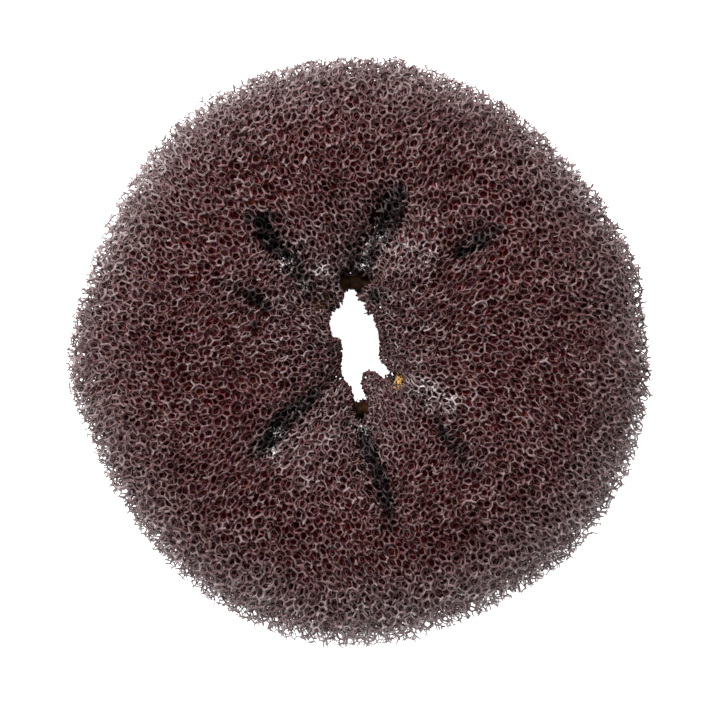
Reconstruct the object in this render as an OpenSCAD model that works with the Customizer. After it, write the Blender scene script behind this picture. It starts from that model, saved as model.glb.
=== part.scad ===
// Bun ring: a sheet of open-cell foam bent round into a hollow ring.
// Its two edges meet at the centre hole, where an elastic band draws them together into folds.
// The origin is the middle of the ring's footprint, on the surface that it lies on.

/* [Foam ring] */
// Mean diameter across the ring
ring_d = 90; // [80:1:110]
// Height of the ring as it lies
ring_h = 36; // [32:1:42]
// Thickness of the foam sheet
sheet_t = 9; // [7:0.5:10]
// Squareness of the tube's section, where 2 is an ellipse
plumpness = 2.15; // [2:0.05:2.6]
// Depth of the folds, as a share of the folds of the real ring
fold_share = 1; // [0:0.1:1.1]
// How far the underside is pressed flat where the ring rests
rest_press = 0.6; // [0.2:0.1:1.2]

/* [Elastic band] */
// Thickness of the band's cord
cord_d = 2; // [1.5:0.1:2.5]
// Length of the oval that the band makes, at its cord's middle
band_l = 20; // [19.5:0.5:22]
// Width of the oval that the band makes, at its cord's middle
band_w = 14; // [13.5:0.5:16]
// Height of the band above the middle of the ring
band_rise = 4; // [0:0.5:6]
// Clearance between the band and the foam on each side
band_gap = 0.3; // [0.2:0.05:0.5]

/* [Mesh] */
// Steps round the ring
ring_steps = 128; // [64:4:132]
// Points on the outer skin of the tube's section
skin_points = 30; // [20:1:32]
// Points on the wall of the hollow inside
hollow_points = 12; // [10:1:14]
// Steps round the band
band_steps = 40; // [24:4:60]
// Sides of the band's cord
band_sides = 8; // [6:1:12]

/* [Hidden] */

// The tables below are measured on a ring of this mean diameter, and grow with ring_d
table_d = 90;
grown = ring_d / table_d;

// Outline seen from above: azimuth, distance from the ring's axis in mm
rim_outline = [
    [0, 44.6],
    [5, 44.3],
    [10, 44.1],
    [16, 44.8],
    [21, 44.8],
    [27, 44.2],
    [34, 44.0],
    [42, 43.8],
    [50, 43.8],
    [57, 44.3],
    [63, 44.6],
    [72, 45.0],
    [82, 45.6],
    [92, 45.9],
    [104, 45.9],
    [114, 45.9],
    [121, 45.8],
    [130, 45.6],
    [140, 45.0],
    [150, 44.5],
    [157, 44.2],
    [163, 44.3],
    [169, 44.6],
    [175, 45.3],
    [180, 45.6],
    [185, 45.3],
    [190, 44.9],
    [196, 44.3],
    [204, 44.1],
    [212, 44.0],
    [220, 44.3],
    [230, 44.7],
    [240, 45.3],
    [250, 45.4],
    [258, 45.8],
    [266, 45.8],
    [276, 45.3],
    [284, 44.9],
    [292, 44.7],
    [300, 44.7],
    [310, 45.1],
    [320, 45.5],
    [330, 45.5],
    [340, 45.3],
    [350, 45.1],
    [360, 44.6],
];

// Outline of the centre hole: azimuth, distance from the ring's axis in mm
hole_outline = [
    [0, 2.9],
    [30, 3.2],
    [48, 3.8],
    [72, 5.3],
    [86, 6.6],
    [92, 8.0],
    [98, 10.0],
    [104, 8.2],
    [110, 7.3],
    [122, 7.4],
    [136, 6.5],
    [147, 4.1],
    [165, 3.4],
    [200, 3.2],
    [230, 4.1],
    [255, 5.7],
    [263, 7.0],
    [270, 8.6],
    [277, 6.6],
    [286, 3.9],
    [303, 3.0],
    [314, 4.0],
    [320, 6.0],
    [326, 4.0],
    [336, 3.0],
    [360, 2.9],
];

// Folds and dents, each a trough along a straight line seen from above:
// azimuth and radius of its inner end, azimuth and radius of its outer end, depth, half width,
// how far out it is deepest as a share of its length, share of its depth left at the inner end
upper_folds = [
    [131, 9.0, 129, 28.0, 8.0, 1.8, 0.65, 0.45],
    [155, 10.0, 155, 26.0, 3.5, 1.9, 0.60, 0.40],
    [94, 10.0, 76, 28.0, 10.0, 2.2, 0.60, 0.45],
    [46, 13.0, 44, 31.0, 6.0, 1.8, 0.65, 0.20],
    [222, 6.0, 225, 24.5, 8.0, 1.8, 0.60, 0.40],
    [268, 8.5, 281, 32.0, 7.0, 1.6, 0.55, 0.50],
    [322, 6.0, 312, 27.0, 5.5, 1.9, 0.60, 0.40],
];
lower_folds = [
    [20, 5.0, 24, 27.0, 4.6, 1.9, 0.50, 0.60],
    [75, 7.0, 68, 30.0, 6.0, 2.1, 0.50, 0.60],
    [118, 8.0, 124, 28.0, 5.2, 1.9, 0.50, 0.60],
    [165, 5.5, 170, 26.0, 4.4, 1.9, 0.50, 0.60],
    [222, 5.5, 215, 29.0, 6.0, 2.1, 0.50, 0.60],
    [268, 7.0, 262, 27.0, 5.2, 1.8, 0.50, 0.60],
    [312, 5.0, 318, 29.0, 5.6, 2.0, 0.50, 0.60],
];
// The dents where the ends of the sheet are joined run out to the notches of the outline
join_dents = [
    [184, 26.0, 187, 45.0, 1.3, 1.6, 0.60, 0.10],
    [10, 34.0, 11, 45.0, 1.2, 1.3, 0.60, 0.10],
];

// Distance over which a trough fades out past its inner end
inner_fade = 4;
// Shape of a trough across its line: 1 is a sharp crease, 2 a round one
fold_edge = 1.4;
// Share of a fold's depth by which the hollow's wall follows it
hollow_follow = 0.8;
// Least radius that is left inside the hollow
hollow_min = 2.5;
// Share of the sheet's thickness that is left under the deepest fold
pinch_min = 0.6;
// Crowding of the skin's points towards the throat
crowding = 0.45;
// The folds of a side fade over this range of height round the throat, as shares of the half height
fade_start = -0.15;
fade_range = 0.6;
// The corners of both outlines are rounded over this angle
corner_angle = 2;
// Azimuth of the oval's long axis, and the place of its middle in mm
band_axis = 102;
band_mid = [-0.3, 0.85];

half_h = (ring_h + rest_press) / 2;
middle_z = ring_h - half_h;
band_z = middle_z + band_rise;
slot_half = cord_d / 2 + band_gap;
section_points = skin_points + hollow_points;

function total(v, i = 0) = i < len(v) ? v[i] + total(v, i + 1) : 0;
function smooth(t) = let (s = min(1, max(0, t))) s * s * (3 - 2 * s);
function polar(azimuth, radius) = radius * [cos(azimuth), sin(azimuth)];
function turned(p, angle) = [p.x * cos(angle) - p.y * sin(angle), p.x * sin(angle) + p.y * cos(angle)];

// Distance of the outline and of the centre hole from the ring's axis
function table_r(azimuth, table) = grown * lookup((azimuth + 360) % 360, table);
function rounded_r(azimuth, table) =
    (
        table_r(azimuth - corner_angle, table)
        + 2 * table_r(azimuth, table)
        + table_r(azimuth + corner_angle, table)
    ) / 4;
function rim_r(azimuth) = rounded_r(azimuth, rim_outline);
function hole_r(azimuth) = rounded_r(azimuth, hole_outline);

// Distance of the band's cord from the ring's axis: where a ray meets the oval
function band_r(azimuth) =
    let (
        ray = turned(polar(azimuth, 1), -band_axis),
        mid = grown * turned(band_mid, -band_axis),
        l = band_l / 2,
        w = band_w / 2,
        a = pow(ray.x / l, 2) + pow(ray.y / w, 2),
        b = ray.x * mid.x / (l * l) + ray.y * mid.y / (w * w),
        c = pow(mid.x / l, 2) + pow(mid.y / w, 2) - 1
    )
    (b + sqrt(b * b - a * c)) / a;

// Depth of one trough under a point of the plan
function trough(p, f) =
    let (
        inner = grown * polar(f[0], f[1]),
        outer = grown * polar(f[2], f[3]),
        along = outer - inner,
        run = norm(along),
        out = (p - inner) * along / (run * run),
        aside = abs(cross(along, p - inner)) / run,
        depth = out < f[6]
            ? f[7] + (1 - f[7]) * smooth(out / f[6])
            : 1 - smooth((out - f[6]) / (1 - f[6]))
    )
    grown * f[4] * depth * smooth(1 + out * run / inner_fade) * exp(-pow(aside / (grown * f[5]), fold_edge));

function troughs(p, folds) = total([for (f = folds) trough(p, f)]);

// How far the skin is drawn in at a point of the plan; rise is its height from -1 to 1
function drawn_in(p, rise) =
    fold_share * (
        troughs(p, upper_folds) * smooth((rise - fade_start) / fade_range)
        + troughs(p, lower_folds) * smooth((-rise - fade_start) / fade_range)
        + troughs(p, join_dents)
    );

// Distance of the tube's round section from its middle, at a tilt from the inward direction
function section_r(tilt, half_w, half_z) =
    pow(
        pow(abs(cos(tilt)) / half_w, plumpness) + pow(abs(sin(tilt)) / half_z, plumpness),
        -1 / plumpness
    );

// Places of the skin's points, crowded towards both edges of the sheet
function crowded(t) = t - crowding * sin(360 * t) / 360;

// One section of the sheet: the outer skin from its upper edge to its lower edge, then the hollow
function section(azimuth) =
    let (
        hole = hole_r(azimuth),
        half_w = (rim_r(azimuth) - hole) / 2,
        middle_r = hole + half_w,
        slot_tilt = atan2(band_rise, middle_r - band_r(azimuth)),
        edge = asin(slot_half / norm([middle_r - band_r(azimuth), band_rise])),
        out_dir = polar(azimuth, 1)
    )
    [
        for (i = [0:section_points - 1])
            let (
                on_skin = i < skin_points,
                share = on_skin
                    ? crowded(i / (skin_points - 1))
                    : 1 - (i - skin_points) / (hollow_points - 1),
                tilt = slot_tilt + edge + (360 - 2 * edge) * share,
                full_r = section_r(tilt, half_w, half_h),
                plan = (middle_r - full_r * cos(tilt)) * out_dir,
                pull = drawn_in(plan, sin(tilt)),
                skin_r = full_r - pull,
                thin_r = full_r - sheet_t - hollow_follow * pull,
                r = on_skin ? skin_r : max(hollow_min, min(thin_r, skin_r - pinch_min * sheet_t)),
                place = (middle_r - r * cos(tilt)) * out_dir
            )
            [place.x, place.y, max(0, middle_z + r * sin(tilt))]
    ];

// Triangles of a closed tube of rings with sides points each; each quad is cut across its short way
function tube_faces(points, sides) =
    let (steps = len(points) / sides)
    [
        for (i = [0:steps - 1], j = [0:sides - 1])
            let (
                a = i * sides + j,
                b = i * sides + (j + 1) % sides,
                c = ((i + 1) % steps) * sides + j,
                d = ((i + 1) % steps) * sides + (j + 1) % sides
            )
            each norm(points[b] - points[c]) < norm(points[a] - points[d])
                ? [[a, c, b], [b, c, d]]
                : [[a, c, d], [a, d, b]]
    ];

foam_points = [for (i = [0:ring_steps - 1]) each section(i * 360 / ring_steps)];
foam_mid = [
    for (axis = [0:1])
        let (places = [for (p = foam_points) p[axis]])
        (min(places) + max(places)) / 2
];

module foam_ring() {
    color([0.29, 0.2, 0.21])
        translate([-foam_mid.x, -foam_mid.y, 0])
            polyhedron(points = foam_points, faces = tube_faces(foam_points, section_points));
}

module gather_band() {
    band_points = [
        for (i = [0:band_steps - 1], j = [0:band_sides - 1])
            let (
                t = 360 * i / band_steps,
                s = -360 * j / band_sides,
                outward = [band_w * cos(t), band_l * sin(t)],
                on_oval = [band_l / 2 * cos(t), band_w / 2 * sin(t)],
                p = on_oval + cord_d / 2 * cos(s) * outward / norm(outward),
                place = grown * band_mid + turned(p, band_axis)
            )
            [place.x, place.y, band_z + cord_d / 2 * sin(s)]
    ];
    color([0.62, 0.4, 0.2])
        translate([-foam_mid.x, -foam_mid.y, 0])
            polyhedron(points = band_points, faces = tube_faces(band_points, band_sides));
}

foam_ring();
gather_band();
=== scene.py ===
import itertools
import math

import bmesh
import bpy
import numpy as np
from mathutils import Euler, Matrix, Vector
from mathutils.bvhtree import BVHTree
from mathutils.kdtree import KDTree


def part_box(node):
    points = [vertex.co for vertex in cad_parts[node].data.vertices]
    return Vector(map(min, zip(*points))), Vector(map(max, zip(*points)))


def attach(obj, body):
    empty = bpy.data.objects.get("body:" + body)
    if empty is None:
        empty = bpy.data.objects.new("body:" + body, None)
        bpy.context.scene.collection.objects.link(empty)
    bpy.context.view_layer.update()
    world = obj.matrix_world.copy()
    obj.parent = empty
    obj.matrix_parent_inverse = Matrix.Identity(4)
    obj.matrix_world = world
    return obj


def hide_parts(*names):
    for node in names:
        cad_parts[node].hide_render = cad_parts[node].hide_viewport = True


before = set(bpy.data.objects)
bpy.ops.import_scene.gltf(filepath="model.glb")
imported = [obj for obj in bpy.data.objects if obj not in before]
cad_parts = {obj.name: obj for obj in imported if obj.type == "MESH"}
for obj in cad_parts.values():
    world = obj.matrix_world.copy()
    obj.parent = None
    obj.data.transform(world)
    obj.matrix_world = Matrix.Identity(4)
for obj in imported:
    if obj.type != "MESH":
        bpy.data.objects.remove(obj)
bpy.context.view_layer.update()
mm = 0.001
# The ring's axis: the band's middle lies at this place from it
bandFromAxis = Vector((-0.3, 0.85, 0)) * mm
bandLow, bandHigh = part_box("gather_band")
bandMiddle = (Vector(bandLow) + Vector(bandHigh)) / 2
axisAt = bandMiddle - bandFromAxis
axisAt.z = 0

# Camera, straight above the ring as in the photo
camera = {
    "height": 0.6,
    "over": (-0.23 * mm, -1.32 * mm),  # from the ring's axis
    "pixel": 0.1554 * mm,  # width of a pixel of the picture at the ring's plane
    "plane": 20 * mm,
    "picture": 720,  # pixels across
    "sensor": 36,
    "nearest": 0.01,
}


def makeCamera():
    data = bpy.data.cameras.new("camera")
    data.sensor_width = camera["sensor"]
    away = camera["height"] - camera["plane"]
    data.lens = camera["sensor"] * away / (camera["pixel"] * camera["picture"])
    data.clip_start = camera["nearest"]
    eye = bpy.data.objects.new("camera", data)
    eye.location = axisAt + Vector((*camera["over"], camera["height"]))
    bpy.context.scene.collection.objects.link(eye)
    bpy.context.scene.camera = eye
    bpy.context.scene.view_settings.view_transform = "Standard"


makeCamera()
print("camera made")


def smooth(t):
    t = np.clip(t, 0, 1)
    return t * t * (3 - 2 * t)


def rise(value, start, over):
    # 0 up to the start, and 1 from a given distance past it
    return smooth((value - start) / over)


# The ring's tube: its middle line, and the skin that the foam is cut to
tube = {
    "midRadius": 25.5 * mm,
    "midHeight": 17.7 * mm,
    "wallOuter": 21.5 * mm,  # farthest that the skin lies from the middle line
    "wallInner": 17 * mm,  # and nearest, away from the folds
    "hollowFacing": -0.5,  # faces that look back at the middle line this much are the hollow's
    "across": 7 * mm,  # a fold is told from the rest of the skin over this distance
    "shoulder": 90,  # percent of the skin there that lies lower than a fold's shoulders
}


def fromAxis(p):
    return np.hypot(p[:, 0], p[:, 1])


def fromMiddle(p):
    return np.hypot(fromAxis(p) - tube["midRadius"], p[:, 2] - tube["midHeight"])


def middleBelow(co):
    r = math.hypot(co.x, co.y)
    return Vector((co.x / r * tube["midRadius"], co.y / r * tube["midRadius"], tube["midHeight"]))


def mergedCopy(node):
    # A node's solid, with the ring's axis at the origin
    bm = bmesh.new()
    bm.from_mesh(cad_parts[node].data)
    bmesh.ops.remove_doubles(bm, verts=bm.verts, dist=1e-7)
    bmesh.ops.translate(bm, verts=bm.verts, vec=-axisAt)
    bm.normal_update()
    return bm


def inHollow(face):
    centre = face.calc_center_median()
    return face.normal.dot((centre - middleBelow(centre)).normalized()) < tube["hollowFacing"]


def readSkin():
    # The outer skin, and for each of its faces how deep in a fold it lies and how high the shoulders are
    bm = mergedCopy("foam_ring")
    bmesh.ops.delete(bm, geom=[f for f in bm.faces if inHollow(f)], context="FACES")
    bm.verts.ensure_lookup_table()
    bm.faces.ensure_lookup_table()
    places = np.array([v.co for v in bm.verts])
    reach = fromMiddle(places)
    tree = KDTree(len(places))
    for i, p in enumerate(places):
        tree.insert(p, i)
    tree.balance()
    around = [reach[[j for _, j, _ in tree.find_range(p, tube["across"])]] for p in places]
    fold = np.array([near.mean() for near in around]) - reach
    shoulder = np.array([np.percentile(near, tube["shoulder"]) for near in around])
    corners = np.array([[v.index for v in f.verts] for f in bm.faces])
    return BVHTree.FromBMesh(bm), fold[corners].mean(1), shoulder[corners].mean(1)


skin, foldOfFace, shoulderOfFace = readSkin()
print("skin read, deepest fold", round(float(foldOfFace.max()) / mm, 2), "mm")

# Foam: an open network of struts that meet four at a node, as in real reticulated foam
foam = {
    # The packing of bubbles
    "cellSize": 2.3 * mm,
    "jitter": 0.065,  # how far bubbles stray from an even packing, in cells of the pattern
    "turn": (0.45, 0.62, 0.27),  # of the packing, so that no rows show from above
    "seed": 4,
    "block": 120 * mm,  # of bubbles that the ring is cut from
    "blockBorder": 2,  # cells round the block that only lend their bubbles
    "spare": 3.5 * mm,  # how far beyond the wall bubbles are kept
    "spareNodes": 1.5 * mm,  # and nodes measured
    "relaxings": 3,
    "gather": 4.2 * mm,  # the band draws the foam in by this, but less within the reach
    "gatherReach": 8 * mm,
    "wave": 26 * mm,  # length and height of a sway through the whole network
    "waveSize": 0.9 * mm,
    # The struts
    "strutSize": 0.235 * mm,
    "sizeSpread": 0.18,  # how much the struts differ, and at most as many times that
    "spreadMost": 2,
    "glintSwell": 0.6,  # share by which struts at a glint are thicker
    "spike": 0.4,  # share of a strut by which cut ones may stand out
    "spikeShare": 0.6,  # of them do
    "longShare": 0.07,  # stand out by up to a whole strut
    "tipSize": 0.8,  # of a spike, beside its root
    "shortStub": 0.12 * mm,  # spikes no longer than this are left out
    "sectors": 6,  # the network is made in as many pieces
    # The sheet
    "depth": 4.0 * mm,  # of the modelled network under the skin
    "depthBelow": 1.8 * mm,  # the same on the side that the ring lies on
    "belowEnds": 4 * mm,  # height up to which it is so
    "belowFade": 10 * mm,
    "raggedSize": 0.3 * mm,  # how uneven the skin is cut
    "raggedWave": 3.4 * mm,
    "raggedFrom": 12 * mm,  # distance from the axis where that begins
    "raggedFade": 8 * mm,
    "raggedBase": 4 * mm,  # height over which it begins
    "shadeDepth": 4.6 * mm,  # painted shade: the struts are darkest at this depth
    "foldShade": 0.75,  # share of the light that the deepest folds take
    "foldFrom": 0.4 * mm,  # folds less deep than this take none
    "shadeFold": 4.5 * mm,  # and those deeper by this the whole share
    "deepFrom": 1.9 * mm,  # the shaded copy of the material starts here
    "shadowBelow": 0.55,  # and the unlit one in creases less open than this
    # Round the centre hole
    "holeReach": 16 * mm,
    "holeThin": 0.25,  # share by which the struts are thinner there
    "holeShade": 1.3 * mm,  # painted shade: the foam is dark this near to the hole
    "holeLight": 0.3,  # light left at its edge
    "lip": 1.2 * mm,  # loose foam that stands into the hole, up to its outline
    "lipReach": 13 * mm,
    "lipFade": 0.4,  # of that reach
    "bandGap": 0.25 * mm,
    "bandNear": 3 * mm,
    # In the creases
    "creaseCut": 0.5 * mm,  # foam that is parted along them
    "creasePower": 1.5,
    "creaseEdge": 0.9 * mm,
    "creaseUneven": 1.5,  # their edges are this much more uneven than the skin
    "creaseFiner": 1.4,  # and in this much shorter waves
    "creaseFill": 2.5 * mm,  # struts that span them below the shoulders of the fold
    "creaseFillFrom": 1.8 * mm,
    "creaseFillFade": 1.2 * mm,
    "creaseFloor": 0.08,  # light left on the struts there
    "creaseFloorDepth": 3 * mm,
    "bareCut": 2.6 * mm,
    # At the ring's widest, the rim of the view from above
    "rimFrom": 35 * mm,
    "rimFade": 7 * mm,
    "rimHalfHeight": 7 * mm,
    "rimGrow": 0.2 * mm,  # loose foam beyond the skin
    "rimThin": 0.42,  # share by which the struts are thinner
    "rimThinMost": 0.6,
    "rimTorn": 0.28,  # share of the nodes that are missing near the skin
    "rimTornMost": 0.4,
    "tornFrom": 0.9 * mm,  # fewer are missing below this depth
    "tornFade": 1.3 * mm,
    "tornAnchor": 0.3,  # what is left hangs together with foam that is less at the rim than this
    "rimEven": 0.4,  # power that evens the tones for both
    # Painted sheen at the rim and the sides, as if light came through the foam from behind
    "rimSheen": 0.85,
    "sideSheen": 0.085,
    "sideFrom": 32 * mm,
    "sideFade": 9 * mm,
    "sheenFade": 0.4,  # share by which both are less further in
    "paleDepth": 3 * mm,
    "rimGlow": 0.88,  # painted light, as if through the foam, evens the painted shades to this
    "glowShare": 0.9,
    "glowFrom": 31 * mm,
    "glowFade": 9 * mm,
    # Hubs with a painted highlight, as if they caught the light
    "sparkShare": 0.35,
    "sparkSheen": 0.6,
    "sparkNear": 1.1,  # more of them near the centre hole
    "sparkNearSheen": 0.4,  # and paler ones
    "sparkNearShade": 0.12,
    "creaseSparks": 0.35,  # the same in the creases
    "creaseSparkOpen": 0.5,
    "creaseSparkPale": 0.55,
    "creaseSparkDepth": 2 * mm,
    "creaseSparkBelow": 0.9,  # only in creases less open than this
    "sheenFleckShare": 0.3,  # of the hubs take more of the painted sheen
    "sheenFleckStrong": 2.1,  # how much of the painted sheen of the rim, the sides and the sheen spots they take
    "sheenFleckWeak": 0.45,  # and how much the rest take
}
# The tables below are seen from above, in mm from the ring's axis
holeOutline = [
    (-2.5, 9.4), (-1.4, 9.7), (-0.8, 9.2), (-0.7, 8.0), (0.3, 7.7), (0.7, 5.3), (1.7, 5.8), (2.0, 4.2),
    (2.6, 2.7), (2.6, 0.5), (2.8, -1.3), (3.4, -2.1), (4.3, -3.2), (3.5, -4.1), (2.3, -3.1), (1.0, -2.7),
    (0.0, -3.4), (-0.2, -5.2), (0.6, -7.4), (-1.1, -7.4), (-1.3, -5.7), (-2.5, -4.6), (-3.1, -2.9),
    (-2.8, -0.1), (-3.1, 2.1), (-4.5, 2.5), (-5.0, 4.6), (-4.5, 6.3), (-3.3, 6.6), (-2.7, 8.0),
]
# Creases in the folds: inner end, outer end, half width at each end, how far parted, how much painted shade
# they take
creases = [
    (-17.5, 20.2, -13.4, 20.6, 0.4, 0.4, 0.5, 0.85),
    (-15.4, 20.0, -14.4, 17.6, 1.1, 0.7, 1.0, 1.0),
    (-14.4, 17.6, -12.4, 15.9, 0.7, 0.6, 0.9, 1.0),
    (-12.4, 15.9, -10.8, 14.1, 0.5, 0.35, 0.8, 1.0),
    (-10.8, 14.1, -9.8, 11.8, 0.3, 0.3, 0.4, 0.9),
    (-9.8, 11.8, -8.6, 10.5, 0.3, 0.3, 0.4, 0.8),
    (6.2, 24.9, 4.9, 22.6, 0.4, 0.9, 0.6, 0.9),
    (4.9, 22.6, 3.7, 20.2, 0.9, 1.3, 0.6, 1.0),
    (3.7, 20.2, 2.8, 18.1, 1.1, 0.6, 0.4, 0.95),
    (2.8, 18.1, 0.3, 12.9, 0.4, 0.35, 0.35, 0.85),
    (0.2, 12.8, -0.5, 11.3, 0.4, 0.8, 0.2, 0.5),
    (14.8, 15.0, 18.1, 16.6, 0.35, 0.6, 0.9, 1.0),
    (18.1, 16.6, 21.0, 18.6, 0.6, 0.3, 0.3, 0.7),
    (-7.2, -6.9, -9.5, -8.9, 0.4, 0.45, 0.6, 0.85),
    (-9.5, -8.9, -12.3, -10.5, 0.45, 0.8, 0.7, 0.95),
    (-12.3, -10.5, -14.4, -13.9, 0.8, 0.7, 0.9, 1.0),
    (-14.4, -13.9, -16.1, -15.7, 0.6, 0.3, 0.5, 0.7),
    (0.0, -12.2, 1.5, -15.4, 0.4, 0.4, 0.6, 0.9),
    (1.5, -15.4, 2.8, -19.6, 0.4, 0.45, 0.6, 0.95),
    (2.8, -19.6, 3.8, -23.2, 0.45, 0.5, 0.7, 1.0),
    (3.8, -23.2, 5.0, -27.6, 0.4, 0.2, 0.4, 0.6),
    (11.7, -11.7, 13.1, -13.1, 0.4, 0.45, 0.6, 0.85),
    (13.1, -13.1, 17.5, -19.9, 0.45, 0.4, 0.2, 0.5),
    (-17.4, 8.8, -14.4, 6.4, 0.5, 0.4, 0.6, 0.9),
    (-22.5, 11.0, -17.4, 8.8, 0.5, 0.5, 0.15, 0.4),
    (1.6, 8.3, 3.3, 9.0, 0.6, 0.6, 0.5, 0.8),
    (-16.7, 4.2, -16.4, 3.3, 0.5, 0.5, 0.4, 0.7),
]
# Where the band shows between the struts: x, y, radius, strength
bareSpots = [
    (-2.3, 11.1, 1.0, 1.0), (-0.4, 11.0, 1.3, 1.0), (1.0, 11.1, 0.8, 0.8), (5.6, -4.4, 1.1, 1.0),
    (0.0, -8.3, 1.2, 0.8),
]
# How much painted sheen the rim takes, and how thin and torn it is: direction in degrees from +X, tone
rimSheenAndThinTable = [
    (0, 0.75), (15, 0.5), (35, 1.0), (60, 0.75), (90, 1.2), (120, 1.3), (155, 2.3),
    (180, 0.75), (210, 1.2), (240, 1.9), (270, 3.2), (300, 1.9), (340, 1.5),
]
# Where loose foam stands out from the rim: direction, half width in degrees, how far in mm
rimLumps = [
    (15, 9, 0.5), (33, 4, 0.5), (62, 8, 0.4), (82, 5, 0.4), (121, 4, 0.5), (149, 4, 0.4),
    (187, 6, 0.9), (280, 4, 0.5), (324, 4, 0.5), (337, 5, 0.5),
]
# Painted shadows, painted sheen and painted glints on the foam: x, y, radius, strength
shadows = [
    (-6.7, -1.3, 2.4, 0.4), (-5.5, -4.1, 1.8, 0.4), (-9.5, -5.2, 2.8, 0.35), (-12.1, -7.4, 2.4, 0.4),
    (-15.2, -9.3, 2.8, 0.45), (-18.6, -10.2, 2.4, 0.35), (-22.4, -8.6, 2.1, 0.3), (-15.2, 17.6, 3.1, 0.2),
    (-22.5, 12.4, 2.1, 0.25), (3.1, 22.3, 3.4, 0.2), (16.6, 17.3, 2.4, 0.25), (13.8, -13.5, 2.4, 0.25),
    (3.6, -21.2, 2.8, 0.15), (-9.5, 7.9, 2.1, 0.15), (-18.0, -3.5, 4.5, 0.2), (1.0, -17.0, 3.5, 0.15),
    (38.0, 4.0, 5.0, 0.15),
]
paintedSheenSpots = [
    (5.9, 15.8, 3.4, 0.3), (10.5, 15.5, 1.5, 0.35), (3.7, 17.0, 1.4, 0.5), (-6.3, 12.7, 1.1, 0.9),
    (-8.5, 10.1, 1.1, 0.4), (-12.4, 7.8, 1.8, 0.3), (-9.4, 17.0, 2.8, 0.15), (8.2, -5.3, 1.8, 0.4),
    (10.7, -5.6, 1.2, 0.6), (13.5, -7.7, 1.4, 0.45), (6.4, -10.6, 1.5, 0.25), (-12.8, -14.0, 1.4, 0.7),
    (-4.9, -12.7, 1.4, 0.5), (-9.4, -13.5, 4.0, 0.25), (-8.5, -19.6, 1.2, 0.25), (8.9, 19.3, 4.0, 0.12),
    (-2.3, 13.2, 1.6, 0.35), (-4.9, 18.4, 4.0, 0.05),
]
glints = [
    (-11.8, 13.2, 1.1, 0.9), (-8.7, 9.8, 0.6, 1.0), (-6.3, 12.4, 0.7, 0.8), (-5.1, 11.5, 0.6, 0.8),
    (-2.8, 13.6, 0.6, 0.5), (1.6, 18.5, 0.7, 1.0), (0.7, 17.0, 0.6, 1.0), (2.9, 17.3, 0.7, 1.0),
    (3.8, 16.2, 0.8, 0.9), (0.6, 15.2, 0.6, 0.9), (0.4, 13.3, 0.7, 0.9), (7.4, 15.8, 0.8, 0.5),
    (9.7, 15.3, 1.3, 0.5), (9.6, 13.6, 1.0, 0.5), (-12.8, -12.6, 0.7, 0.8), (-13.4, -15.4, 0.7, 0.9),
    (-9.8, -8.7, 0.4, 1.0), (-1.4, -11.1, 0.7, 0.8), (0.1, -12.0, 0.8, 0.9), (9.7, -5.5, 1.2, 0.7),
    (11.6, -6.7, 1.2, 0.8), (13.6, -7.4, 1.0, 0.6), (10.5, -8.2, 1.0, 0.6),
]

# Places of the eight bubbles in one cell of the pattern, and how near to each other touching ones are
seedPlaces = [
    (0, 0, 0), (0.5, 0.5, 0.5), (0, 0.5, 0.25), (0, 0.5, 0.75),
    (0.5, 0.25, 0), (0.5, 0.75, 0), (0.25, 0, 0.5), (0.75, 0, 0.5),
]
reachOfNeighbour = 0.7
# Corners of the side opposite each corner of a node's hub
sideOf = np.array([[1, 2, 3], [0, 3, 2], [0, 1, 3], [0, 2, 1]])


def homeOf(group):
    # The same group of bubbles has one key wherever it lies in the pattern
    best = None
    for _, home in group:
        key = tuple(sorted((s, tuple(np.subtract(o, home).tolist())) for s, o in group))
        if best is None or key < best[0]:
            best = (key, home)
    return best


def foamPattern():
    # Four bubbles that all touch make a node, and nodes that share three are joined by a strut
    block = [(s, o) for o in itertools.product((-1, 0, 1), repeat=3) for s in range(len(seedPlaces))]
    place = {b: np.add(seedPlaces[b[0]], b[1]) for b in block}

    def touch(a, b):
        return 0 < np.linalg.norm(place[a] - place[b]) < reachOfNeighbour

    corners = set()
    for s in range(len(seedPlaces)):
        home = (s, (0, 0, 0))
        around = [b for b in block if touch(home, b)]
        for a, b, c in itertools.combinations(around, 3):
            if touch(a, b) and touch(b, c) and touch(a, c):
                corners.add(homeOf([home, a, b, c])[0])
    corners = sorted(corners)
    sides = {}
    for i, corner in enumerate(corners):
        for k in range(4):
            key, home = homeOf([b for j, b in enumerate(corner) if j != k])
            sides.setdefault(key, []).append((i, k, home))
    # For each side of a node: the node that it is joined to, that one's side, and how many cells on
    nextTo = np.zeros((len(corners), 4, 5), int)
    for (i, k, homeI), (j, m, homeJ) in sides.values():
        nextTo[i, k] = [j, m, *np.subtract(homeI, homeJ)]
        nextTo[j, m] = [i, k, *np.subtract(homeJ, homeI)]
    return corners, nextTo


def nearRing(p, margin, drawn=0):
    # The tube's wall, wherever it was before the foam was drawn in
    aside = np.abs(fromAxis(p) - drawn / 2 - tube["midRadius"])
    up = p[:, 2] - tube["midHeight"]
    farthest = np.hypot(aside + drawn / 2, up)
    nearest = np.hypot(np.maximum(aside - drawn / 2, 0), up)
    inside = nearest < tube["wallOuter"] + margin
    return inside & (farthest > tube["wallInner"] - foam["depth"] - margin)


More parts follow.
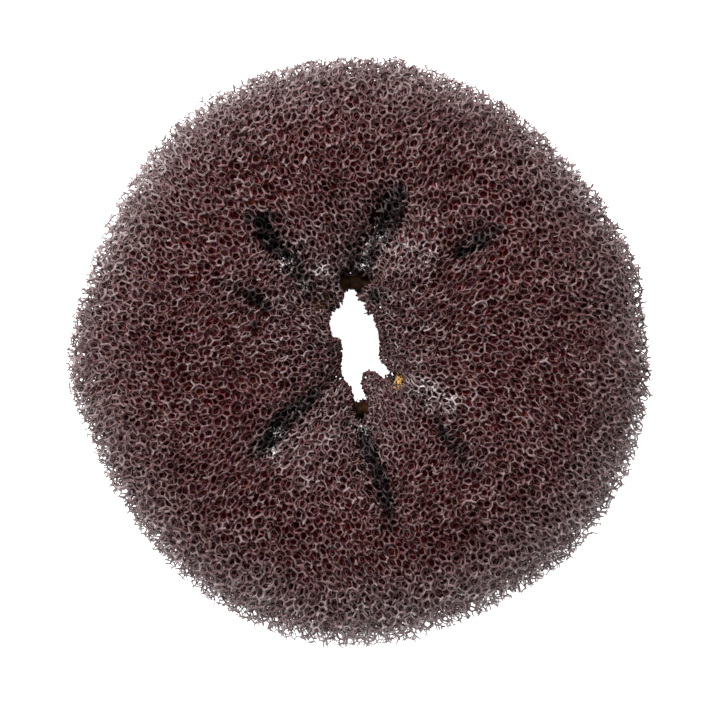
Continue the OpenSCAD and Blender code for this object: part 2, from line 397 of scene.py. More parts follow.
def foamNodes(rng):
    # A node is the point at equal distance from its four jittered bubbles
    corners, nextTo = foamPattern()
    # The bubbles of a cell have the volume of as many balls of the foam's cell size
    period = foam["cellSize"] * (len(seedPlaces) * math.pi / 6) ** (1 / 3)
    size = np.array([int(foam["block"] / period) + 2 * foam["blockBorder"]] * 3)
    grid = np.stack(np.meshgrid(*[np.arange(n) for n in size], indexing="ij"), -1)
    seeds = grid[..., None, :] + np.array(seedPlaces)
    seeds = seeds + rng.normal(0, foam["jitter"], seeds.shape)
    turn = np.array(Euler(foam["turn"]).to_matrix())
    middle = np.array([0, 0, tube["midHeight"]])

    def placed(p):
        return (p - size / 2) * period @ turn.T + middle

    within = slice(foam["blockBorder"], -foam["blockBorder"])
    inner = grid[within, within, within].reshape(-1, 3)
    inner = inner[nearRing(placed(inner + 0.5), foam["spare"], foam["gather"])]
    four = np.array([[[s, *o] for s, o in c] for c in corners])
    at = inner[:, None, None, :] + four[None, :, :, 1:]
    p = seeds[at[..., 0], at[..., 1], at[..., 2], four[None, :, :, 0]]
    rows = 2 * (p[:, :, 1:] - p[:, :, :1])
    right = (p[:, :, 1:] ** 2).sum(-1) - (p[:, :, :1] ** 2).sum(-1)
    node = placed(np.linalg.solve(rows, right[..., None])[..., 0])
    cellId = -np.ones(size, int)
    cellId[inner[:, 0], inner[:, 1], inner[:, 2]] = np.arange(len(inner))
    to = inner[:, None, None, :] + nextTo[None, :, :, 2:]
    toCell = cellId[to[..., 0], to[..., 1], to[..., 2]]
    nextNode = np.where(toCell >= 0, toCell * len(corners) + nextTo[None, :, :, 0], -1)
    nextSide = np.broadcast_to(nextTo[None, :, :, 1], nextNode.shape)
    return node.reshape(-1, 3), nextNode.reshape(-1, 4), nextSide.reshape(-1, 4)


def settle(node, nextNode):
    # Struts pull their nodes even, then the whole foam is gathered and swayed a little
    whole = (nextNode >= 0).all(1)
    for _ in range(foam["relaxings"]):
        node = np.where(whole[:, None], 0.5 * node + 0.5 * node[nextNode].mean(1), node)
    r = fromAxis(node)
    node[:, :2] *= (1 - foam["gather"] * (1 - np.exp(-r / foam["gatherReach"])) / r)[:, None]
    # Each way sways along the other two, at rates of its own
    w = 2 * math.pi / foam["wave"]
    x, y, z = node.T.copy()
    node[:, 0] += foam["waveSize"] * np.sin(w * y + 1.3 * w * z)
    node[:, 1] += foam["waveSize"] * np.sin(1.1 * w * z + 0.8 * w * x + 1.0)
    node[:, 2] += foam["waveSize"] * np.sin(0.9 * w * x - 1.2 * w * y + 2.0)
    return node


def outsideHole(p):
    # Distance from the hole's outline seen from above, negative in the hole
    a = np.array(holeOutline) * mm
    b = np.roll(a, -1, axis=0)
    x, y = p[:, :1], p[:, 1:2]
    run = b - a
    t = (((x - a[:, 0]) * run[:, 0] + (y - a[:, 1]) * run[:, 1]) / (run ** 2).sum(1)).clip(0, 1)
    away = np.hypot(x - a[:, 0] - t * run[:, 0], y - a[:, 1] - t * run[:, 1]).min(1)
    level = (a[:, 1] > y) != (b[:, 1] > y)
    climb = np.where(run[:, 1] == 0, 1, run[:, 1])
    crossings = (level & (x < run[:, 0] * (y - a[:, 1]) / climb + a[:, 0])).sum(1)
    return np.where(crossings % 2 == 1, -away, away)


def creased(p):
    # How far the foam is parted at each place, and how much painted shade it takes there
    parted, dark = np.zeros(len(p)), np.zeros(len(p))
    uneven = foam["creaseUneven"] * ragged(foam["creaseFiner"] * p)
    for x0, y0, x1, y1, innerHalf, outerHalf, parting, darkness in creases:
        start, run = np.array([x0, y0]) * mm, np.array([x1 - x0, y1 - y0]) * mm
        length = np.hypot(*run)
        away = p[:, :2] - start
        t = away @ run / length ** 2
        beyond = np.maximum(np.maximum(-t, t - 1), 0) * length
        aside = np.abs(away[:, 0] * run[1] - away[:, 1] * run[0]) / length
        half = (innerHalf + (outerHalf - innerHalf) * t.clip(0, 1)) * mm
        near = 1 - smooth((np.maximum(aside + uneven - half, 0) + beyond) / foam["creaseEdge"])
        parted, dark = np.maximum(parted, parting * near), np.maximum(dark, darkness * near)
    above = p[:, 2] > tube["midHeight"]
    return parted * above, dark * above


def depthLimit(z):
    upper = rise(z, foam["belowEnds"], foam["belowFade"])
    return foam["depthBelow"] + (foam["depth"] - foam["depthBelow"]) * upper


def ragged(p):
    # Uneven waves: three pairs of sines that run different ways
    w = 2 * math.pi / foam["raggedWave"]
    x, y, z = p.T
    waves = (
        np.sin(w * (x + 0.3 * y)) * np.sin(w * (y - 0.4 * z) + 1) + np.sin(w * (0.9 * z + 0.5 * x) + 2)
        * np.sin(w * (0.8 * y - 0.7 * x)) + np.sin(1.7 * w * (x - z)) * np.sin(1.6 * w * (y + z)) * 0.6
    )
    return foam["raggedSize"] * waves


def directionOf(p):
    return np.degrees(np.arctan2(p[:, 1], p[:, 0]))


def rimSheenAndThin(p):
    return np.interp(directionOf(p), *np.array(rimSheenAndThinTable).T, period=360)


def rimLump(p):
    turn = directionOf(p)
    grown = np.full(len(p), foam["rimGrow"])
    for at, half, size in rimLumps:
        away = (turn - at + 180) % 360 - 180
        grown = np.maximum(grown, size * mm * np.exp(-((away / half) ** 2)))
    return grown


def atRim(p):
    # 1 at the ring's widest, where its outline is seen from above, and 0 away from it
    high = np.exp(-(((p[:, 2] - tube["midHeight"]) / foam["rimHalfHeight"]) ** 2))
    return high * rise(fromAxis(p), foam["rimFrom"], foam["rimFade"])


def byHole(p):
    return np.exp(-((fromAxis(p) / foam["holeReach"]) ** 2))


def charted(p, rows):
    # How strongly the charted spots reach each place, on the upper side only
    value = np.zeros(len(p))
    for x, y, radius, strength in rows:
        d = np.hypot(p[:, 0] - x * mm, p[:, 1] - y * mm) / (radius * mm)
        value = np.maximum(value, strength * np.exp(-(d ** 2)))
    return value * (p[:, 2] > tube["midHeight"])


def depthAndLight(node):
    # How deep each node lies under the skin, how much painted light the folds, the painted shadows and the
    # hole leave it, and how open it is
    depth = np.full(len(node), -1.0)
    fold = np.zeros(len(node))
    sunk = -fromMiddle(node)
    bandTree = BVHTree.FromBMesh(mergedCopy("gather_band"))
    lipEnd = foam["lipReach"]
    clear = outsideHole(node) - foam["strutSize"]
    for i in np.nonzero(nearRing(node, foam["spareNodes"]))[0]:
        p = Vector(node[i])
        hit, normal, face, d = skin.find_nearest(p)
        depth[i] = -d if (p - hit).dot(normal) > 0 else d
        fold[i] = max(0, foldOfFace[face])
        sunk[i] += shoulderOfFace[face]
        r = math.hypot(p.x, p.y)
        if r < lipEnd:
            depth[i] += foam["lip"] * float(smooth((lipEnd - r) / (foam["lipFade"] * lipEnd)))
            near, _, _, d = bandTree.find_nearest(p, foam["bandNear"])
            if near is not None:
                depth[i] = min(depth[i], d - foam["bandGap"] - foam["strutSize"])
            depth[i] = min(depth[i], clear[i])
    uneven = ragged(node) * rise(fromAxis(node), foam["raggedFrom"], foam["raggedFade"])
    uneven = uneven * rise(node[:, 2], 0, foam["raggedBase"])
    parted, dark = creased(node)
    depth = depth + uneven + rimLump(node) * atRim(node)
    depth = depth - foam["creaseCut"] * parted ** foam["creasePower"]
    depth = depth - foam["bareCut"] * charted(node, bareSpots)
    depth = depth + foam["creaseFill"] * dark * rise(sunk, foam["creaseFillFrom"], foam["creaseFillFade"])
    # Painted shade in the folds, under the painted shadows and at the hole's edge
    light = 1 - foam["foldShade"] * rise(fold, foam["foldFrom"], foam["shadeFold"])
    light = light * (1 - charted(node, shadows))
    light = light * (foam["holeLight"] + (1 - foam["holeLight"]) * smooth(clear / foam["holeShade"]))
    return depth, light, 1 - dark


def apart(nextNode, rng):
    # 1 or -1 at each node, unlike most of its neighbours, so that it passes 0 halfway along a strut
    rounds, turned = 12, 0.5
    sign = rng.choice([-1.0, 1.0], len(nextNode))
    for _ in range(rounds):
        same = (sign[nextNode] * (nextNode >= 0)).sum(1) * sign > 0
        sign = np.where(same & (rng.random(len(sign)) < turned), -sign, sign)
    return sign


def hubTones(node, nextNode, depth, light, lit, rng):
    # Painted light at each hub: how bright its painted shade leaves it, how much painted sheen it takes, and
    # how far the crease round it is open to the light
    through = rise(fromAxis(node), foam["glowFrom"], foam["glowFade"]) * light
    shade = (1 - smooth(depth / foam["shadeDepth"])) * light
    shade = shade + foam["glowShare"] * through * (foam["rimGlow"] - shade)
    near = foam["sparkNear"] * byHole(node)
    chance = rng.random(len(node)) / (foam["sparkShare"] * (1 + near))
    pale = foam["sparkSheen"] * (1 + foam["sparkNearSheen"] * near) * (1 - chance.clip(0, 1)) * light
    shade = shade * (1 + foam["sparkNearShade"] * near)
    caught = rng.random(len(node)) < foam["creaseSparks"]
    caught = caught & (depth < foam["creaseSparkDepth"]) & (lit < foam["creaseSparkBelow"])
    floor = foam["creaseFloor"] * (1 - smooth(depth / foam["creaseFloorDepth"]))
    lit = np.where(caught, np.maximum(lit, foam["creaseSparkOpen"]), floor + (1 - floor) * lit)
    pale = np.maximum(pale, foam["creaseSparkPale"] * caught)
    sheenFlecked = rng.random(len(node)) < foam["sheenFleckShare"]
    sheenFleck = np.where(sheenFlecked, foam["sheenFleckStrong"], foam["sheenFleckWeak"])
    end = apart(nextNode, rng)
    return {"shade": shade, "pale": pale, "open": lit, "end": end, "deep": depth, "sheenFleck": sheenFleck}


def heldFast(keep, nextNode, anchored):
    # The kept nodes that hang together with an anchored one
    held, count = keep & anchored, 0
    while held.sum() > count:
        count = held.sum()
        held = held | (keep & (held[nextNode] & (nextNode >= 0)).any(1))
    return held


def keptNodes(node, nextNode, depth, rimness, rng):
    # The nodes of the sheet, less those torn out near the skin of the rim
    keep = (depth > 0) & (depth < depthLimit(node[:, 2])) & (nextNode >= 0).all(1)
    torn = (foam["rimTorn"] * rimness).clip(0, foam["rimTornMost"]) * atRim(node)
    torn = torn * (1 - rise(depth, foam["tornFrom"], foam["tornFade"]))
    keep &= rng.random(len(node)) > torn
    return heldFast(keep, nextNode, atRim(node) < foam["tornAnchor"])


def hubSizes(place, rimness, rng):
    spread = rng.standard_normal(len(place)).clip(-foam["spreadMost"], foam["spreadMost"])
    size = foam["strutSize"] * (1 + foam["sizeSpread"] * spread)
    rimThin = (foam["rimThin"] * rimness).clip(0, foam["rimThinMost"])
    size = size * (1 - rimThin * atRim(place)) * (1 - foam["holeThin"] * byHole(place))
    return size * (1 + foam["glintSwell"] * charted(place, glints))


def strutNetwork(node, nextNode, nextSide, depth, tones, rng):
    # Each node is a small four-cornered hub, and each strut a three-sided sleeve between two hubs
    rimness = rimSheenAndThin(node) ** foam["rimEven"]
    ids = np.nonzero(keptNodes(node, nextNode, depth, rimness, rng))[0]
    to = nextNode[ids]
    arms = node[to] - node[ids][:, None]
    length = np.linalg.norm(arms, axis=2)
    arms = arms / length[..., None]
    verts = node[ids][:, None] - hubSizes(node[ids], rimness[ids], rng)[:, None, None] * arms
    handed = np.linalg.det(verts[:, 1:] - verts[:, :1]) > 0
    newId = -np.ones(len(node), int)
    newId[ids] = np.arange(len(ids))
    other = newId[to]
    tri = np.where(handed[:, None, None], sideOf[None], sideOf[None][:, :, ::-1])
    tri = tri + 4 * np.arange(len(ids))[:, None, None]
    verts = verts.reshape(-1, 3)
    turnShare = np.arctan2(node[ids, 1], node[ids, 0]) / (2 * math.pi) % 1
    sector = np.floor(turnShare * foam["sectors"]).astype(int) % foam["sectors"]
    tones = {key: np.repeat(value[ids], 4) for key, value in tones.items()}
    faces, owner = [], []

    def sleeve(p, q, who):
        for i in range(3):
            j = (i + 1) % 3
            faces.extend([np.stack([p[:, i], p[:, j], q[:, j]], 1), np.stack([p[:, i], q[:, j], q[:, i]], 1)])
            owner.extend([who, who])

    def cap(triangles, who):
        faces.append(triangles)
        owner.append(who)

    a, k = np.nonzero(other > np.arange(len(ids))[:, None])
    b, m = other[a, k], nextSide[ids][a, k]
    near, far = tri[a, k], tri[b, m][:, ::-1]
    # Of the three ways to join two sides, the one that twists the strut least
    turns = np.stack([np.roll(far, -t, axis=1) for t in range(3)], 1)
    miss = ((verts[turns] - verts[near][:, None]) ** 2).sum((2, 3))
    far = turns[np.arange(len(a)), miss.argmin(1)]
    inside = sector[a] == sector[b]
    sleeve(near[inside], far[inside], sector[a][inside])
    # A strut that leaves its sector ends on corners of its own
    cross = ~inside
    own = len(verts) + np.arange(3 * cross.sum()).reshape(-1, 3)
    verts = np.concatenate([verts, verts[far[cross]].reshape(-1, 3)])
    tones = {key: np.concatenate([value, value[far[cross]].ravel()]) for key, value in tones.items()}
    sleeve(near[cross], own, sector[a][cross])
    cap(own, sector[a][cross])
    cap(tri[b, m][cross], sector[b][cross])
    # Struts cut at the skin end in short spikes
    outDepth = depth[to]
    a, k = np.nonzero((other < 0) & (outDepth <= 0))
    share = depth[ids][a] / (depth[ids][a] - outDepth[a, k])
    loose = foam["spike"] * rng.random(len(share)) * (rng.random(len(share)) < foam["spikeShare"])
    loose = loose + rng.random(len(share)) * (rng.random(len(share)) < foam["longShare"])
    run = np.minimum(1, share + loose) * length[a, k]
    long = run > foam["shortStub"]
    a, k, run = a[long], k[long], run[long]
    near = tri[a, k]
    tip = verts[near] + (arms[a, k] * run[:, None])[:, None]
    middle = tip.mean(1, keepdims=True)
    tip = middle + foam["tipSize"] * (tip - middle)
    far = len(verts) + np.arange(3 * len(a)).reshape(-1, 3)
    verts = np.concatenate([verts, tip.reshape(-1, 3)])
    tones = {key: np.concatenate([value, value[near].ravel()]) for key, value in tones.items()}
    sleeve(near, far, sector[a])
    cap(far, sector[a])
    # Every other side that has no strut is shut flat
    shut = other < 0
    shut[a, k] = False
    a, k = np.nonzero(shut)
    cap(tri[a, k], sector[a])
    verts[:, 2] = verts[:, 2].clip(0)
    return verts, np.concatenate(faces), np.concatenate(owner), tones


def giveAttribute(mesh, name, values):
    mesh.attributes.new(name, "FLOAT", "POINT").data.foreach_set("value", values.astype(np.float32))


def addPiece(name, mesh):
    piece = bpy.data.objects.new(name, mesh)
    bpy.context.scene.collection.objects.link(piece)
    return piece


def meshFromArrays(name, verts, faces, values):
    used, corners = np.unique(faces, return_inverse=True)
    mesh = bpy.data.meshes.new(name)
    mesh.vertices.add(len(used))
    mesh.loops.add(faces.size)
    mesh.polygons.add(len(faces))
    mesh.vertices.foreach_set("co", (verts[used] + np.array(axisAt)).astype(np.float32).ravel())
    mesh.loops.foreach_set("vertex_index", corners.ravel().astype(np.int32))
    mesh.polygons.foreach_set("loop_start", np.arange(0, faces.size, 3, dtype=np.int32))
    mesh.polygons.foreach_set("use_smooth", np.ones(len(faces), bool))
    mesh.update(calc_edges=True)
    for key, value in values.items():
        giveAttribute(mesh, key, value[used])
    return mesh


def meshFromBmesh(name, bm):
    mesh = bpy.data.meshes.new(name)
    bm.to_mesh(mesh)
    bm.free()
    mesh.polygons.foreach_set("use_smooth", np.ones(len(mesh.polygons), bool))
    return mesh


def asFoam(piece):
    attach(piece, "root")
    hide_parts("foam_ring")


def makeFoam():
    rng = np.random.default_rng(foam["seed"])
    node, nextNode, nextSide = foamNodes(rng)
    node = settle(node, nextNode)
    print("foam nodes placed", len(node))
    depth, light, lit = depthAndLight(node)
    tones = hubTones(node, nextNode, depth, light, lit, rng)
    verts, faces, owner, tones = strutNetwork(node, nextNode, nextSide, depth, tones, rng)
    # Painted sheen: paler at the rim, the sides and the charted sheen spots
    aside = rise(fromAxis(verts), foam["sideFrom"], foam["sideFade"])
    paintedHaze = (foam["rimSheen"] * atRim(verts) + foam["sideSheen"] * aside) * rimSheenAndThin(verts)
    paintedHaze = paintedHaze * (1 - foam["sheenFade"] * smooth(tones["deep"] / foam["paleDepth"]))
    paintedHaze = np.maximum(charted(verts, paintedSheenSpots), paintedHaze) * tones.pop("sheenFleck")
    tones["pale"] = np.maximum(tones["pale"], np.sqrt(paintedHaze.clip(0, 1)))
    # Painted glints
    tones["glint"] = charted(verts, glints)
    deep = tones.pop("deep")[faces].mean(1) > foam["deepFrom"]
    # Material of each face: 0 the lit copy at the skin, 1 the shaded copy deeper, 2 the unlit copy in the
    # creases
    kind = np.where(tones["open"][faces].mean(1) < foam["shadowBelow"], 2, deep).astype(np.int32)
    pieces = []
    for s in range(foam["sectors"]):
        name = f"foamStruts{s + 1}"
        piece = addPiece(name, meshFromArrays(name, verts, faces[owner == s], tones))
        piece.data.polygons.foreach_set("material_index", kind[owner == s])
        asFoam(piece)
        pieces.append(piece)
    print("foam struts made,", len(faces), "triangles")
    return pieces


# Core: the closed inner side of the foam sheet, dark as painted shade of the foam further in, seen only
# through the windows
core = {"overlap": 0.3 * mm}  # with the deepest struts


def makeCore():
    bm = mergedCopy("foam_ring")
    for v in bm.verts:
        middle = middleBelow(v.co)
        if v.normal.dot(v.co - middle) > 0:
            v.co += (middle - v.co).normalized() * (float(depthLimit(v.co.z)) - core["overlap"])
    bmesh.ops.subdivide_edges(bm, edges=bm.edges, cuts=1, use_grid_fill=True)
    bmesh.ops.triangulate(bm, faces=bm.faces)
    # Painted shade in the creases
    _, dark = creased(np.array([v.co for v in bm.verts]))
    bmesh.ops.translate(bm, verts=bm.verts, vec=axisAt)
    mesh = meshFromBmesh("foamCore", bm)
    giveAttribute(mesh, "open", 1 - dark)
    piece = addPiece("foamCore", mesh)
    asFoam(piece)
    print("foam core made")
    return piece


# Band: one closed loop of round elastic, stretched to an oval
band = {
    "cord": 1.0 * mm,  # half its thickness
    "length": 20 * mm,
    "width": 14 * mm,
    "axis": 102,  # direction of its length, in degrees from +X
    "sides": 20,
    "steps": 160,
    "swells": [(0.04, 5, 1), (0.03, 11, 0)],  # size, number round the loop, start
}
# Painted light where light comes through the band: x, y, radius in mm, strength
bandLightSpots = [(5.3, -4.5, 2.0, 1.0), (-6.9, 7.5, 1.5, 0.25)]


def makeBand():
    bm = bmesh.new()
    start = band["length"] / 2
    upright = Euler((math.pi / 2, 0, 0)).to_matrix().to_4x4()
    bmesh.ops.create_circle(bm, segments=band["sides"], radius=band["cord"], matrix=upright)
    bmesh.ops.translate(bm, verts=bm.verts, vec=(start, 0, 0))
    bmesh.ops.spin(
        bm, geom=bm.verts[:] + bm.edges[:], cent=(0, 0, 0), axis=(0, 0, 1),
        angle=2 * math.pi, steps=band["steps"], use_merge=True,
    )
    bmesh.ops.remove_doubles(bm, verts=bm.verts, dist=1e-6)
    for v in bm.verts:
        t = math.atan2(v.co.y, v.co.x)
        off = math.hypot(v.co.x, v.co.y) - start
        outward = Vector((band["width"] * math.cos(t), band["length"] * math.sin(t))).normalized()
        thick = 1
        for size, count, begin in band["swells"]:
            thick += size * math.sin(count * t + begin)
        v.co.x = band["length"] / 2 * math.cos(t) + off * thick * outward.x
        v.co.y = band["width"] / 2 * math.sin(t) + off * thick * outward.y
        v.co.z *= thick
    along = Euler((0, 0, math.radians(band["axis"]))).to_matrix()
    bmesh.ops.rotate(bm, verts=bm.verts, cent=(0, 0, 0), matrix=along)
    bmesh.ops.translate(bm, verts=bm.verts, vec=bandMiddle)
    bmesh.ops.recalc_face_normals(bm, faces=bm.faces)
    mesh = meshFromBmesh("gatherBand", bm)
    # Painted light through the band
    giveAttribute(mesh, "paintedLight", charted(np.array([v.co - axisAt for v in mesh.vertices]), bandLightSpots))
    piece = addPiece("gatherBand", mesh)
    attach(piece, "root")
    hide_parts("gather_band")
    print("band made")
    return piece


foamPieces = makeFoam()
corePiece = makeCore()
bandPiece = makeBand()

# Places of the Mix node's sockets for colours
mixFactor, mixA, mixB, mixResult = 0, 6, 7, 2


def newMaterial(name):
    material = bpy.data.materials.new(name)
    material.use_nodes = True
    return material, material.node_tree, material.node_tree.nodes["Principled BSDF"]


def feed(tree, value, socket):
    # The value is another node's output or a plain one
    if isinstance(value, bpy.types.NodeSocket):
        tree.links.new(value, socket)
    else:
        socket.default_value = value


def mixColour(tree, factor, a, b):
    mix = tree.nodes.new("ShaderNodeMix")
    mix.data_type = "RGBA"
    feed(tree, factor, mix.inputs[mixFactor])
    feed(tree, a, mix.inputs[mixA])
    feed(tree, b, mix.inputs[mixB])
    return mix.outputs[mixResult]


def mathOf(tree, operation, a, b=0):
    node = tree.nodes.new("ShaderNodeMath")
    node.operation = operation
    feed(tree, a, node.inputs[0])
    feed(tree, b, node.inputs[1])
    return node.outputs[0]


def stretched(tree, value, times, plus):
    return mathOf(tree, "ADD", mathOf(tree, "MULTIPLY", value, times), plus)


def noiseOf(tree, scale, detail=3):
    place = tree.nodes.new("ShaderNodeTexCoord")
    noise = tree.nodes.new("ShaderNodeTexNoise")
    noise.inputs["Scale"].default_value = scale
    noise.inputs["Detail"].default_value = detail
    tree.links.new(place.outputs["Object"], noise.inputs["Vector"])
    return noise.outputs["Fac"]


def attributeOf(tree, name):
    node = tree.nodes.new("ShaderNodeAttribute")
    node.attribute_name = name
    return node.outputs["Fac"]


def addBump(tree, shader, height, strength, distance):
    bump = tree.nodes.new("ShaderNodeBump")
    bump.inputs["Strength"].default_value = strength
    bump.inputs["Distance"].default_value = distance
    tree.links.new(height, bump.inputs["Height"])
    tree.links.new(bump.outputs["Normal"], shader.inputs["Normal"])


# How the dye took, and the painted highlight at the hubs: scales of its noises, and how much each of them
# counts
dyeAndHubSheen = {
    "blotch": 120,
    "speck": 1500,
    "speckShare": 0.9,
    "patch": 420,
    "patchShare": 2.6,
    "less": 1.25,  # taken off, so that the mean stays near 1
    "least": 0.3,
    "hubHighlight": 0.62,  # painted highlight: hubs are lighter than the middles of the struts by this
    "middles": 0.59,
    "saturation": 1.32,  # falls as the tone rises
    "saturationFall": 0.36,
    "hue": 0.432,
    "hueNoise": 800,
    "hueSpread": 0.14,
    "rough": 0.28,
    "roughSpread": 0.4,
}


def makeFoamTint():
    # Colour of dyed foam with painted shade, light at the skin and dark inside, painted highlights at the
    # hubs, and blotches from the dye
    group = bpy.data.node_groups.new("foamTintAndShade", "ShaderNodeTree")
    inputs = {"Shade": "Float", "End": "Float", "Light": "Color", "Dark": "Color"}
    outputs = {"Colour": "Color", "Roughness": "Float"}
    for way, sockets in (("INPUT", inputs), ("OUTPUT", outputs)):
        for name, kind in sockets.items():
            group.interface.new_socket(name, in_out=way, socket_type="NodeSocket" + kind)
    source, result = group.nodes.new("NodeGroupInput").outputs, group.nodes.new("NodeGroupOutput").inputs
    speck = noiseOf(group, dyeAndHubSheen["speck"], 1)
    specks = mathOf(group, "MULTIPLY", speck, dyeAndHubSheen["speckShare"])
    patches = mathOf(group, "MULTIPLY", noiseOf(group, dyeAndHubSheen["patch"], 1), dyeAndHubSheen["patchShare"])
    strong = mathOf(group, "SUBTRACT", mathOf(group, "ADD", specks, patches), dyeAndHubSheen["less"])
    tone = mathOf(group, "MAXIMUM", mathOf(group, "ADD", noiseOf(group, dyeAndHubSheen["blotch"]), strong), dyeAndHubSheen["least"])
    swell = stretched(group, source["End"], dyeAndHubSheen["hubHighlight"], dyeAndHubSheen["middles"])
    tone = mathOf(group, "MULTIPLY", tone, swell)
    fall = mathOf(group, "MULTIPLY", tone, dyeAndHubSheen["saturationFall"])
    toned = group.nodes.new("ShaderNodeHueSaturation")
    feed(group, tone, toned.inputs["Value"])
    feed(group, mathOf(group, "SUBTRACT", dyeAndHubSheen["saturation"], fall), toned.inputs["Saturation"])
    hue = stretched(group, noiseOf(group, dyeAndHubSheen["hueNoise"], 2), dyeAndHubSheen["hueSpread"], dyeAndHubSheen["hue"])
    feed(group, hue, toned.inputs["Hue"])
    feed(group, mixColour(group, source["Shade"], source["Dark"], source["Light"]), toned.inputs["Color"])
    feed(group, toned.outputs["Color"], result["Colour"])
    feed(group, stretched(group, speck, dyeAndHubSheen["roughSpread"], dyeAndHubSheen["rough"]), result["Roughness"])
    return group


foamTintAndShade = makeFoamTint()


def placeTint(tree, shade, end, palette):
    tint = tree.nodes.new("ShaderNodeGroup")
    tint.node_tree = foamTintAndShade
    feed(tree, shade, tint.inputs["Shade"])
    feed(tree, end, tint.inputs["End"])
    feed(tree, palette["light"], tint.inputs["Light"])
    feed(tree, palette["dark"], tint.inputs["Dark"])
    return tint.outputs


# The painted glints and the grain of the struts' surface are the same in the lit, shaded and unlit copies of
# their material
strutSurface = {
    "glint": (0.6, 0.57, 0.57, 1),
    "grain": 2200,
    "glintAbove": 0.58,  # of the grain, so that a glint is broken up
    "bump": 0.2,
    "bumpDepth": 0.05 * mm,
}
# Lit copy of the struts' colours, with painted sheen and painted shade in the creases
skinLitColours = {
    "light": (0.0545, 0.0214, 0.0219, 1),
    "dark": (0.046, 0.008, 0.009, 1),
    "pale": (0.25, 0.198, 0.201, 1),
    "crease": (0.02, 0.015, 0.015, 1),
    "shine": 0.22,
    "shineTint": (1, 0.93, 0.93, 1),
}
# Shaded copy for the deeper struts
deepShadedColours = {
    "light": (0.118, 0.041, 0.043, 1),
    "dark": (0.07, 0.004, 0.005, 1),
    "pale": (0.2, 0.132, 0.136, 1),
    "crease": (0.003, 0.002, 0.002, 1),
    "shine": 0.1,
    "shineTint": (1, 0.8, 0.8, 1),
}
# Unlit copy for the struts in the creases
creaseShadowColours = {
    "light": (0.03, 0.013, 0.014, 1),
    "dark": (0.016, 0.003, 0.004, 1),
    "pale": (0.16, 0.14, 0.14, 1),
    "crease": (0.0055, 0.0042, 0.0042, 1),
    "shine": 0.04,
    "shineTint": (1, 0.95, 0.95, 1),
}


def strutMaterial(name, palette):
    material, tree, shader = newMaterial(name)
    # Painted highlight at the hubs
    nearHub = mathOf(tree, "ABSOLUTE", attributeOf(tree, "end"))
    nearHub = mathOf(tree, "MULTIPLY", nearHub, nearHub)
    tint = placeTint(tree, attributeOf(tree, "shade"), nearHub, palette)
    # Painted sheen
    pale = attributeOf(tree, "pale")
    pale = mathOf(tree, "MULTIPLY", pale, pale)
    greyed = mixColour(tree, pale, tint["Colour"], palette["pale"])
    # Painted glints, broken up by the grain
    grain = noiseOf(tree, strutSurface["grain"], 1)
    broken = mathOf(tree, "GREATER_THAN", grain, strutSurface["glintAbove"])
    glint = mathOf(tree, "MULTIPLY", attributeOf(tree, "glint"), broken)
    # Painted shade in the creases
    seen = mixColour(tree, attributeOf(tree, "open"), palette["crease"], greyed)
    feed(tree, mixColour(tree, glint, seen, strutSurface["glint"]), shader.inputs["Base Color"])
    feed(tree, tint["Roughness"], shader.inputs["Roughness"])
    feed(tree, palette["shine"], shader.inputs["Specular IOR Level"])
    feed(tree, palette["shineTint"], shader.inputs["Specular Tint"])
    addBump(tree, shader, grain, strutSurface["bump"], strutSurface["bumpDepth"])
    return material


coreColoursAndShade = {
    "light": (0.065, 0.006, 0.007, 1),
    "dark": (0.042, 0.0009, 0.0012, 1),
    # painted shade in the creases
    "crease": (0, 0, 0, 1),
    "windows": 700,  # scale of the painted windows
    "strutInner": 0.02,  # where a painted strut begins to fade, and where it ends
    "strutOuter": 0.16,
    "end": 0.5,
    "rough": 0.9,
    "shine": 0.05,
    "bump": 0.7,
    "bumpDepth": 0.6 * mm,
}


def coreMaterial():
    # Painted windows and struts carry the foam on below the modelled network, dark as painted shade, and
    # black as painted shade in the creases
    material, tree, shader = newMaterial("foamInside")
    place = tree.nodes.new("ShaderNodeTexCoord")
    cells = tree.nodes.new("ShaderNodeTexVoronoi")
    cells.feature = "DISTANCE_TO_EDGE"
    cells.inputs["Scale"].default_value = coreColoursAndShade["windows"]
    tree.links.new(place.outputs["Object"], cells.inputs["Vector"])
    strut = tree.nodes.new("ShaderNodeMapRange")
    strut.inputs["From Min"].default_value = coreColoursAndShade["strutInner"]
    strut.inputs["From Max"].default_value = coreColoursAndShade["strutOuter"]
    strut.inputs["To Min"].default_value = 1
    strut.inputs["To Max"].default_value = 0
    tree.links.new(cells.outputs["Distance"], strut.inputs["Value"])
    tint = placeTint(tree, strut.outputs["Result"], coreColoursAndShade["end"], coreColoursAndShade)
    seen = mixColour(tree, attributeOf(tree, "open"), coreColoursAndShade["crease"], tint["Colour"])
    feed(tree, seen, shader.inputs["Base Color"])
    feed(tree, coreColoursAndShade["rough"], shader.inputs["Roughness"])
    feed(tree, coreColoursAndShade["shine"], shader.inputs["Specular IOR Level"])
    addBump(tree, shader, strut.outputs["Result"], coreColoursAndShade["bump"], coreColoursAndShade["bumpDepth"])
    return material


bandColoursAndLight = {
    "paintedLight": (0.62, 0.36, 0.12, 1),
    "amber": (0.017, 0.006, 0.0015, 1),
    "brown": (0.003, 0.0015, 0.0006, 1),
    "blotch": 1100,  # scale of the amber blotches on the brown, and how sharp they are
    "blotchSharp": (4.0, -1.5),
    "patch": 2600,  # the same for the painted light
    "patchSharp": (5.0, -1.9),
    "rough": 0.7,
    "shine": 0.04,
    "grain": 1200,
    "bump": 0.3,
    "bumpDepth": 0.1 * mm,
}


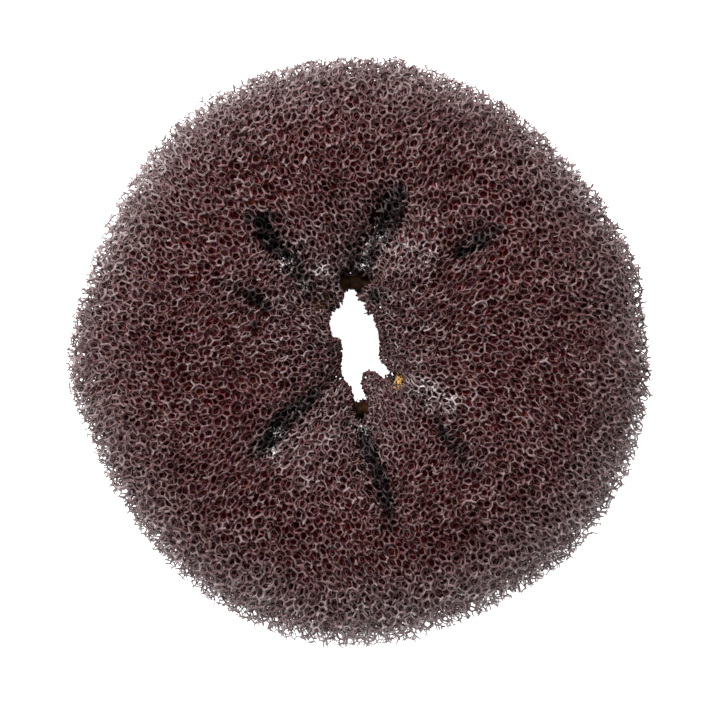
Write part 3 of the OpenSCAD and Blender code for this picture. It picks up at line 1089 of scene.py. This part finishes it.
def bandMaterial():
    material, tree, shader = newMaterial("amberRubber")
    blotch = stretched(tree, noiseOf(tree, bandColoursAndLight["blotch"], 2), *bandColoursAndLight["blotchSharp"])
    dim = mixColour(tree, blotch, bandColoursAndLight["brown"], bandColoursAndLight["amber"])
    # Painted light through the band, in patches
    patch = stretched(tree, noiseOf(tree, bandColoursAndLight["patch"], 1), *bandColoursAndLight["patchSharp"])
    through = mathOf(tree, "MULTIPLY", attributeOf(tree, "paintedLight"), patch)
    feed(tree, mixColour(tree, through, dim, bandColoursAndLight["paintedLight"]), shader.inputs["Base Color"])
    feed(tree, bandColoursAndLight["rough"], shader.inputs["Roughness"])
    feed(tree, bandColoursAndLight["shine"], shader.inputs["Specular IOR Level"])
    addBump(tree, shader, noiseOf(tree, bandColoursAndLight["grain"]), bandColoursAndLight["bump"], bandColoursAndLight["bumpDepth"])
    return material


strutMaterials = [
    strutMaterial(name, palette)
    for name, palette in (("foamSkinLit", skinLitColours), ("foamDeepShaded", deepShadedColours), ("foamShadow", creaseShadowColours))
]
for piece in foamPieces:
    for material in strutMaterials:
        piece.data.materials.append(material)
corePiece.data.materials.append(coreMaterial())
bandPiece.data.materials.append(bandMaterial())
print("materials made")

# Studio: white floor, one soft light from the upper left and an even white surround
studio = {
    "floor": 6.0,
    "floorColour": (0.8, 0.8, 0.8, 1),
    "floorRough": 0.9,
    "white": (1, 1, 1, 1),
    "glow": 1.0,
    "keyAt": (-0.12, 0.22, 0.55),
    "keySize": 0.4,
    "keyPower": 10,
    "surround": 0.68,
}


def makeStudio():
    bm = bmesh.new()
    bmesh.ops.create_grid(bm, x_segments=1, y_segments=1, size=studio["floor"] / 2)
    floor = addPiece("floor", meshFromBmesh("floor", bm))
    material, tree, shader = newMaterial("floorWhite")
    feed(tree, studio["floorColour"], shader.inputs["Base Color"])
    feed(tree, studio["floorRough"], shader.inputs["Roughness"])
    feed(tree, studio["white"], shader.inputs["Emission Color"])
    feed(tree, studio["glow"], shader.inputs["Emission Strength"])
    floor.data.materials.append(material)
    light = bpy.data.lights.new("keyLight", "AREA")
    light.size = studio["keySize"]
    light.energy = studio["keyPower"]
    lamp = bpy.data.objects.new("keyLight", light)
    lamp.location = studio["keyAt"]
    lamp.rotation_euler = (-lamp.location).to_track_quat("-Z", "Y").to_euler()
    bpy.context.scene.collection.objects.link(lamp)
    world = bpy.data.worlds.new("surround")
    world.use_nodes = True
    background = world.node_tree.nodes["Background"]
    feed(world.node_tree, studio["white"], background.inputs["Color"])
    feed(world.node_tree, studio["surround"], background.inputs["Strength"])
    bpy.context.scene.world = world
    print("studio made")


makeStudio()
